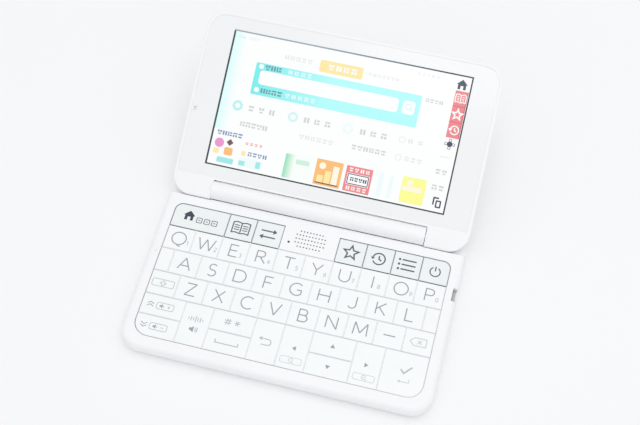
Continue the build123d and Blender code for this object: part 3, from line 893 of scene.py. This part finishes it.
def socket_lining():
    """Insert round the tongue of the socket, and a grey lining of painted shade in the notch
    before its mouth.
    """
    low, high = (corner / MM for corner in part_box("charging_socket"))
    front, rear = low.y + SOCKET_WALL, high.y - SOCKET_WALL
    middle = (front + rear) / 2
    back, bed, mouth = low.x + SOCKET_WALL, low.x + SOCKET_WALL + INSERT_BED, high.x - INSERT_BACK
    cheeks = [(back, front), (mouth, front), (mouth, middle - TONGUE_HALF),
              (bed, middle - TONGUE_HALF), (bed, middle + TONGUE_HALF),
              (mouth, middle + TONGUE_HALF), (mouth, rear), (back, rear)]
    small_part("socket_insert", DARK_PLASTIC, "speaker_black", [cheeks],
               low.z + SOCKET_WALL, high.z - SOCKET_WALL)
    # the grey of the feet stands for the shade in the notch, on its floor and at its ends
    rubber = MATERIALS["foot_rubber"]
    inner, outer = high.x + 2 * CLEAR, high.x + NOTCH_OUT
    front, rear = low.y - NOTCH_SIDE, high.y + NOTCH_SIDE
    small_part("notch_shade_lining", rubber, "foot_rubber", bar(inner, front, outer, rear),
               low.z + CLEAR, low.z + LINING)
    ends = bar(inner, rear, outer, rear + NOTCH_END) + bar(inner, front - NOTCH_END, outer, front)
    small_part("notch_end_shade", rubber, "foot_rubber", ends, low.z + CLEAR, high.z)


socket_lining()
small_part("microphone", DARK_PLASTIC, "speaker_black",
           disc(*MICROPHONE_PLACE, MICROPHONE_RADIUS, 16), *MICROPHONE_DEPTH)


# ---- picture on the screen

HINGE = [joint for joint in frame["joints"] if joint["name"] == "lid_hinge"][0]
OPENED = (Matrix.Translation(HINGE["pos_m"])
          @ Matrix.Rotation(-radians(HINGE["range_deg"][1]), 4, "X"))
GLASS_FACE = -1.31       # face of the touch sheet, lid shut, from the axis
LAYER = 0.02             # each printed layer lies this much nearer to the eye
PICTURE_HALF = 60.9
PICTURE_LOW = 13.0       # lower edge of the picture, from the axis
PICTURE_HIGH = 81.5
LINE_AROUND = 0.75       # dark line round the picture
LINE_LEFT = 0.95         # the same at its left side
COVER_LOW = 14.4         # foot of the row of covers
COLUMN_LEFT = 54.2       # red block at the right of the picture
COLUMN_RIGHT = 60.7

# Tones of the picture in the usual 0 to 255 steps.
LIT_TONES = {
    "white": (251, 252, 252),
    "aqua": (160, 231, 233),
    "ring": (186, 240, 241),
    "mist": (210, 245, 246),
    "haze": (238, 250, 250),
    "orange": (250, 190, 118),
    "amber": (253, 233, 166),
    "cream": (254, 247, 226),
    "red": (239, 137, 139),
    "crimson": (206, 98, 112),
    "yellow": (251, 251, 150),
    "pink": (235, 150, 205),
    "mint": (206, 240, 222),
    "blue": (124, 152, 190),
    "umber": (112, 86, 84),
    "ink": (72, 86, 100),
    "title": (112, 156, 164),
    "slate": (210, 212, 215),
    "grey": (230, 232, 234),
}
# Tones that change across the picture: at the right, at the left, and where in X between.
FADING_TONES = {
    "edge": ((251, 252, 252), (218, 251, 250), (-60.9, -54.0)),
    "cyan": ((180, 251, 250), (122, 234, 234), (-47.0, -8.0)),
    "leaf": ((247, 252, 249), (152, 224, 184), (-21.6, -17.0)),
}


def line_print(name, **more):
    """Dark print round the picture."""
    return moulded(name, LINE_DARK, 0.3, grain=0.3, depth=0.001, patch=6, mottle=0.85, **more)


LIGHTS = {name: lit("lit_" + name, tone(*steps)) for name, steps in LIT_TONES.items()}
for name, (right, left, ramp) in FADING_TONES.items():
    LIGHTS[name] = lit("lit_" + name, tone(*right), tone(*left), ramp)
LIGHTS["line"] = line_print("screen_line")
LIGHTS["top_line"] = line_print("screen_top_line", second=LINE_FADED, ramp=(-20.0, 50.0))

# Plain marks that stand for print: boxes in a unit square, none of them a letter.
MARKS = (
    ((0, 0.64, 1, 1), (0.1, 0, 0.9, 0.36)),
    ((0, 0, 0.4, 1), (0.6, 0, 1, 1)),
    ((0, 0.7, 1, 1), (0, 0, 0.4, 0.5), (0.6, 0, 1, 0.5)),
    ((0, 0.5, 0.42, 1), (0.58, 0.5, 1, 1), (0.2, 0, 0.8, 0.3)),
    ((0, 0, 0.3, 1), (0.46, 0.6, 1, 0.95), (0.46, 0.05, 1, 0.4)),
)


GLASS_HALF = 74.8        # touch sheet: half its width, its ends from the axis and their corners
GLASS_NEAR, GLASS_FAR = 6.1, 88.7
NEAR_CORNER, FAR_CORNER = 1.0, 8.8
GLASS_GAP = 0.1          # gap between the sheet and the frame round it
SEAL_BACK = -0.3         # level of the hidden side of the seal
SEAL_PROUD = 0.02        # seal over the face of the sheet
SEAL_LAP = 0.02          # seal wider than the gap


def glass_seal():
    """Pale bead that fills the gap between the touch sheet and the frame of the lid."""
    half = GLASS_HALF + GLASS_GAP / 2
    near, far = GLASS_NEAR - GLASS_GAP / 2, GLASS_FAR + GLASS_GAP / 2
    path = rounded(-half, near, half, far, FAR_CORNER, NEAR_CORNER, 12)
    laid = [[(x, -up) for x, up in quad] for quad in stroke(path, GLASS_GAP + SEAL_LAP, True)]
    tall = SEAL_BACK - GLASS_FACE + SEAL_PROUD
    piece = flat_piece("glass_seal", "lid", MATERIALS["bezel_glass"], laid, SEAL_BACK, tall,
                       OPENED, True)


glass_seal()


def show(name, light, shapes, layer):
    """Part of the picture: shapes in x and height up the lid, on a layer over the glass."""
    laid = [[(x, -up) for x, up in points] for points in shapes]
    level = GLASS_FACE - LAYER * layer
    flat_piece("picture_" + name, "lid", LIGHTS[light], laid, level, LAYER, OPENED, True)


def words(x, up, count, pitch, size=2.2):
    """Row of marks that stands for a few words, from a left end and a middle height."""
    shapes = []
    for i in range(count):
        for x0, y0, x1, y1 in MARKS[(3 * i + int(abs(x) + up)) % len(MARKS)]:
            shapes += moved(bar(x0, y0 - 0.5, x1, y1 - 0.5), x + i * pitch, up, size)
    return shapes


def ring(x, up, radius, line):
    """Round line that closes on itself."""
    return stroke(oval(x, up, radius, radius), line, True)


def show_outline():
    """Dark line round the picture, paler along the top left."""
    low, high, half = PICTURE_LOW, PICTURE_HIGH, PICTURE_HALF
    left, right = -half - LINE_LEFT, half + LINE_AROUND
    sides = bar(left, low, -half, high) + bar(half, low, right, high)
    show("line", "line", sides + bar(left, low - LINE_AROUND, right, low), 0)
    show("top_line", "top_line", bar(left, high, right, high + LINE_AROUND), 0)


def show_search_box():
    """Box to type a word in, with a dark and a pale title at either edge."""
    show("search_box", "cyan", [rounded(-47.0, 51.6, 38.6, 68.0, 0.8)], 1)
    field = [rounded(-44.2, 57.2, 27.8, 64.4, 1.6), rounded(30.0, 57.4, 36.2, 64.2, 1.4)]
    field += disc(-44.2, 66.2, 1.25) + disc(-44.2, 54.2, 1.25)
    show("search_field", "white", field, 2)
    titles = words(-30.0, 66.2, 4, 3.3, 2.0) + words(-29.0, 54.3, 5, 3.3, 2.0)
    show("search_titles", "haze", titles, 2)
    lens = ring(33.0, 61.2, 1.3, 0.45) + stroke([(33.9, 60.3), (34.9, 59.2)], 0.5)
    show("search_sign", "mist", lens, 3)
    show("search_words", "title",
         words(-42.0, 66.2, 3, 2.9, 2.4) + words(-42.0, 54.2, 4, 2.9, 2.4), 2)


def show_menu():
    """Tab over the box and two rows of choices under it."""
    show("tab", "amber", [rounded(-15.2, 69.7, 7.0, 75.8, 0.8)], 1)
    show("tab_words", "white", words(-10.5, 72.8, 4, 3.9, 2.7), 2)
    show("bullet_left", "ring", ring(-51.8, 44.4, 2.0, 1.3), 1)
    show("bullet_middle", "mist", ring(-22.8, 44.4, 2.0, 1.2), 1)
    show("bullet_right", "haze", ring(5.6, 44.4, 2.1, 1.2), 1)
    dark = []
    for x in (-46.0, -17.0, 12.0):
        dark += words(x, 44.2, 3, 5.4, 2.7)
    dark += words(-48.5, 35.8, 5, 2.9, 2.5) + words(9.5, 36.0, 6, 3.0, 2.3)
    dark += words(40.6, 66.4, 4, 2.3, 1.8)
    show("words_dark", "slate", dark, 1)
    pale = words(-33.5, 73.4, 5, 3.0, 2.2) + words(10.0, 73.3, 7, 2.3, 1.6)
    pale += words(-59.0, 79.0, 2, 2.0, 1.4) + words(-53.0, 79.0, 3, 1.7, 1.2)
    pale += words(34.0, 78.6, 5, 2.4, 1.3)
    pale += ring(33.4, 44.6, 1.5, 0.35) + words(36.6, 44.6, 2, 5.0, 2.2)
    pale += words(-17.5, 35.6, 6, 3.0, 2.2) + ring(33.4, 35.6, 1.5, 0.35)
    pale += words(36.6, 35.6, 3, 3.2, 2.2) + stroke([(53.4, 40.4), (58.6, 40.4)], 0.4)
    show("words_pale", "grey", pale, 1)
    show("words_side", "slate", words(53.0, 32.8, 2, 3.2, 2.3) + words(52.8, 24.8, 2, 3.4, 2.5), 1)


def show_covers():
    """Row of book covers along the foot of the picture, with plain motifs."""
    low = COVER_LOW
    prints = {           # by light: the layer and the shapes
        "yellow": (1, [rounded(38.0, low - 0.2, 50.0, 27.2, 1.2)]),
        "orange": (1, [rounded(-6.0, low - 0.6, 7.6, 26.8, 0.5),
                       rounded(-53.6, 18.6, -49.2, 22.6, 0.9)]),
        "red": (1, [rounded(9.4, low - 0.6, 22.8, 26.6, 0.3)] + words(-43.4, 26.4, 4, 2.4, 1.3)),
        "leaf": (1, bar(-22.0, low - 0.6, -8.2, 26.0)),
        "haze": (1, bar(26.0, low, 28.6, 26.6) + bar(31.6, low, 33.6, 26.0)
                 + [rounded(-45.2, low, -32.8, 19.0, 0.5)]),
        "aqua": (2, [rounded(-56.4, low, -47.8, 17.2, 0.6), rounded(-45.0, 15.0, -41.8, 17.4, 0.3),
                     rounded(-36.2, 15.0, -33.8, 18.4, 0.3)]),
        "umber": (3, [[(-53.2, 25.2), (-51.4, 27.0), (-49.6, 25.2), (-51.4, 23.4)]]
                  + bar(-5.0, 14.6, 6.6, 15.2)),
        "pink": (2, disc(-56.8, 24.2, 2.4)),
        "amber": (1.5, [rounded(-59.2, 18.6, -56.2, 21.2, 0.4),
                        rounded(-44.6, 20.0, -42.4, 22.4, 0.4)]
                  + bar(-4.4, 15.2, -1.4, 18.8) + bar(-0.7, 15.2, 2.3, 21.4)),
        "blue": (3, words(-58.9, 29.4, 5, 2.7, 2.2) + words(-41.2, 21.4, 4, 2.6, 2.0)),
        "mint": (2, [rounded(-16.4, 21.6, -9.4, 24.0, 0.3)]),
        "cream": (2.5, bar(3.0, 15.2, 6.0, 24.4) + disc(-2.6, 23.6, 1.7)
                  + [rounded(38.6, 20.2, 48.2, 22.6, 0.6)] + disc(42.0, 24.2, 1.5)),
    }
    for light, (layer, shapes) in prints.items():
        show("cover_" + light, light, shapes, layer)
    card = [rounded(10.4, 17.2, 21.8, 23.0, 0.2)]
    card += words(11.0, 24.8, 4, 2.8, 1.8) + words(11.0, 15.5, 4, 2.8, 1.8)
    show("cover_card", "white", card, 2)
    lines = frame_box(10.9, 17.7, 21.3, 22.5, 0.2, 0.45) + words(12.2, 20.1, 4, 2.2, 1.8)
    show("cover_lines", "ink", lines, 3)


def show_column():
    """Column of signs at the right of the picture."""
    left, right = COLUMN_LEFT, COLUMN_RIGHT
    middle = (left + right) / 2
    show("house", "ink", moved(house(), 56.7, 77.3, 1.08), 1)
    show("red_block", "red", bar(left, 50.4, right, 74.2), 1)
    show("red_lines", "crimson", bar(left, 58.2, right, 58.5) + bar(left, 66.2, right, 66.5)
         + bar(right - 0.5, 50.4, right, 74.2), 2)
    white = moved(open_book(5.2, 4.4, 0.5), middle, 70.4) + moved(star(2.6, 0.7), middle, 62.3)
    show("red_signs", "white", white + moved(clock(2.1, 0.6), middle + 0.2, 54.4), 3)
    pad = disc(56.9, 47.2, 1.35)
    for dx, dy in ((1.9, 0), (0, 1.9), (-1.9, 0), (0, -1.9)):
        pad += moved(frame_box(-0.6, -0.6, 0.6, 0.6, 0.2, 0.26), 56.9 + dx, 47.2 + dy)
    show("pad", "ink", pad, 1)
    windows = frame_box(56.6, 15.3, 58.7, 18.4, 0.2, 0.75)
    windows += stroke([(55.1, 16.2), (55.1, 19.8), (57.6, 19.8)], 0.8)
    show("windows", "ink", windows, 1)


def show_screen():
    """The whole picture: a plain menu with a search box, covers and a column of signs."""
    show_outline()
    show("ground", "white", bar(-PICTURE_HALF, PICTURE_LOW, PICTURE_HALF, PICTURE_HIGH), 0)
    show("edge", "edge", bar(-PICTURE_HALF, 31.0, -54.0, PICTURE_HIGH), 0.5)
    show_search_box()
    show_menu()
    show_covers()
    show_column()


show_screen()


# ---- floor, light and camera

FLOOR_SIZE = 6.0
FLOOR_GLOW = 0.14        # share of the floor's own tone that no shadow takes away
WORLD_LEVEL = 0.645
WORLD_RISE = 0.35        # added to the level towards the bright side, overhead and in front
BRIGHT_SIDE = (0.05, -0.25, 0.967)
BACKDROP_LEVEL = 0.97    # world as the camera and the glossy surfaces see it
LAMP_POWER = 3.6
LAMP_PLACE = (0.2, 0.02, 1.45)
LAMP_SIZE = 0.9
CAMERA_PLACE = (0.08167, -0.29453, 0.55687)
CAMERA_TURN = (29.6356, 0.3806, 14.4230)
CAMERA_LENS = 70.35


def seen_directly(look, low, high):
    """One level where the camera, gloss or glass sees a surface, and another where light does."""
    rays = look.node("LightPath").outputs
    value = rays["Is Camera Ray"]
    for kind in ("Is Glossy Ray", "Is Transmission Ray"):
        larger = look.node("Math", {0: value, 1: rays[kind]}, operation="MAXIMUM")
        value = larger.outputs["Value"]
    return look.ranged(value, low, high, 0, 1)


def floor_material():
    """Matt white table whose shadows are thinned, as in a bright soft-lit room."""
    material = moulded("table", FLOOR_WHITE, 0.7, grain=1.0, patch=90, mottle=0.996,
                       specular=0.2)
    nodes = material.node_tree.nodes
    look = Look(material.node_tree)
    glow = look.node("Emission", {"Color": FLOOR_WHITE})
    blend = look.node("MixShader", {"Fac": seen_directly(look, 0, FLOOR_GLOW),
                                    1: nodes["Principled BSDF"].outputs["BSDF"],
                                    2: glow.outputs["Emission"]})
    look.feed(nodes["Material Output"], {"Surface": blend.outputs["Shader"]})
    return material


def make_floor():
    """Pale table under the object."""
    mesh = bpy.data.meshes.new("floor")
    half = FLOOR_SIZE / 2
    mesh.from_pydata([(x, y, 0) for x, y in bar(-half, -half, half, half)[0]], [], [(0, 1, 2, 3)])
    mesh.materials.append(floor_material())
    floor = added("floor", mesh)


def make_lamp():
    """Square soft lamp over the object, aimed at its origin."""
    data = bpy.data.lights.new("key_lamp", "AREA")
    data.shape = "SQUARE"
    data.size = LAMP_SIZE
    data.energy = LAMP_POWER
    lamp = added("key_lamp", data)
    lamp.location = LAMP_PLACE
    lamp.rotation_euler = (-lamp.location).to_track_quat("-Z", "Y").to_euler()


def make_world():
    """Pale surroundings, brighter overhead and a little to the front."""
    world = bpy.data.worlds.new("studio")
    world.use_nodes = True
    look = Look(world.node_tree)
    toward = look.node("VectorMath", {0: look.place("Generated"), 1: BRIGHT_SIDE},
                       operation="DOT_PRODUCT")
    bright = WORLD_LEVEL + WORLD_RISE
    leaning = look.ranged(toward.outputs["Value"], WORLD_LEVEL, bright, 0, 1)
    look.feed(world.node_tree.nodes["Background"],
              {"Color": WORLD_WHITE, "Strength": seen_directly(look, leaning, BACKDROP_LEVEL)})
    bpy.context.scene.world = world


def make_camera():
    """Camera at the photograph's angle."""
    data = bpy.data.cameras.new("camera")
    data.lens = CAMERA_LENS
    data.sensor_width = 36
    data.sensor_fit = "HORIZONTAL"
    data.clip_start = 0.01
    data.clip_end = 20
    camera = added("camera", data)
    camera.location = CAMERA_PLACE
    camera.rotation_euler = [radians(turn) for turn in CAMERA_TURN]
    bpy.context.scene.camera = camera


make_floor()
make_world()
make_lamp()
make_camera()
bpy.context.scene.view_settings.view_transform = "Standard"
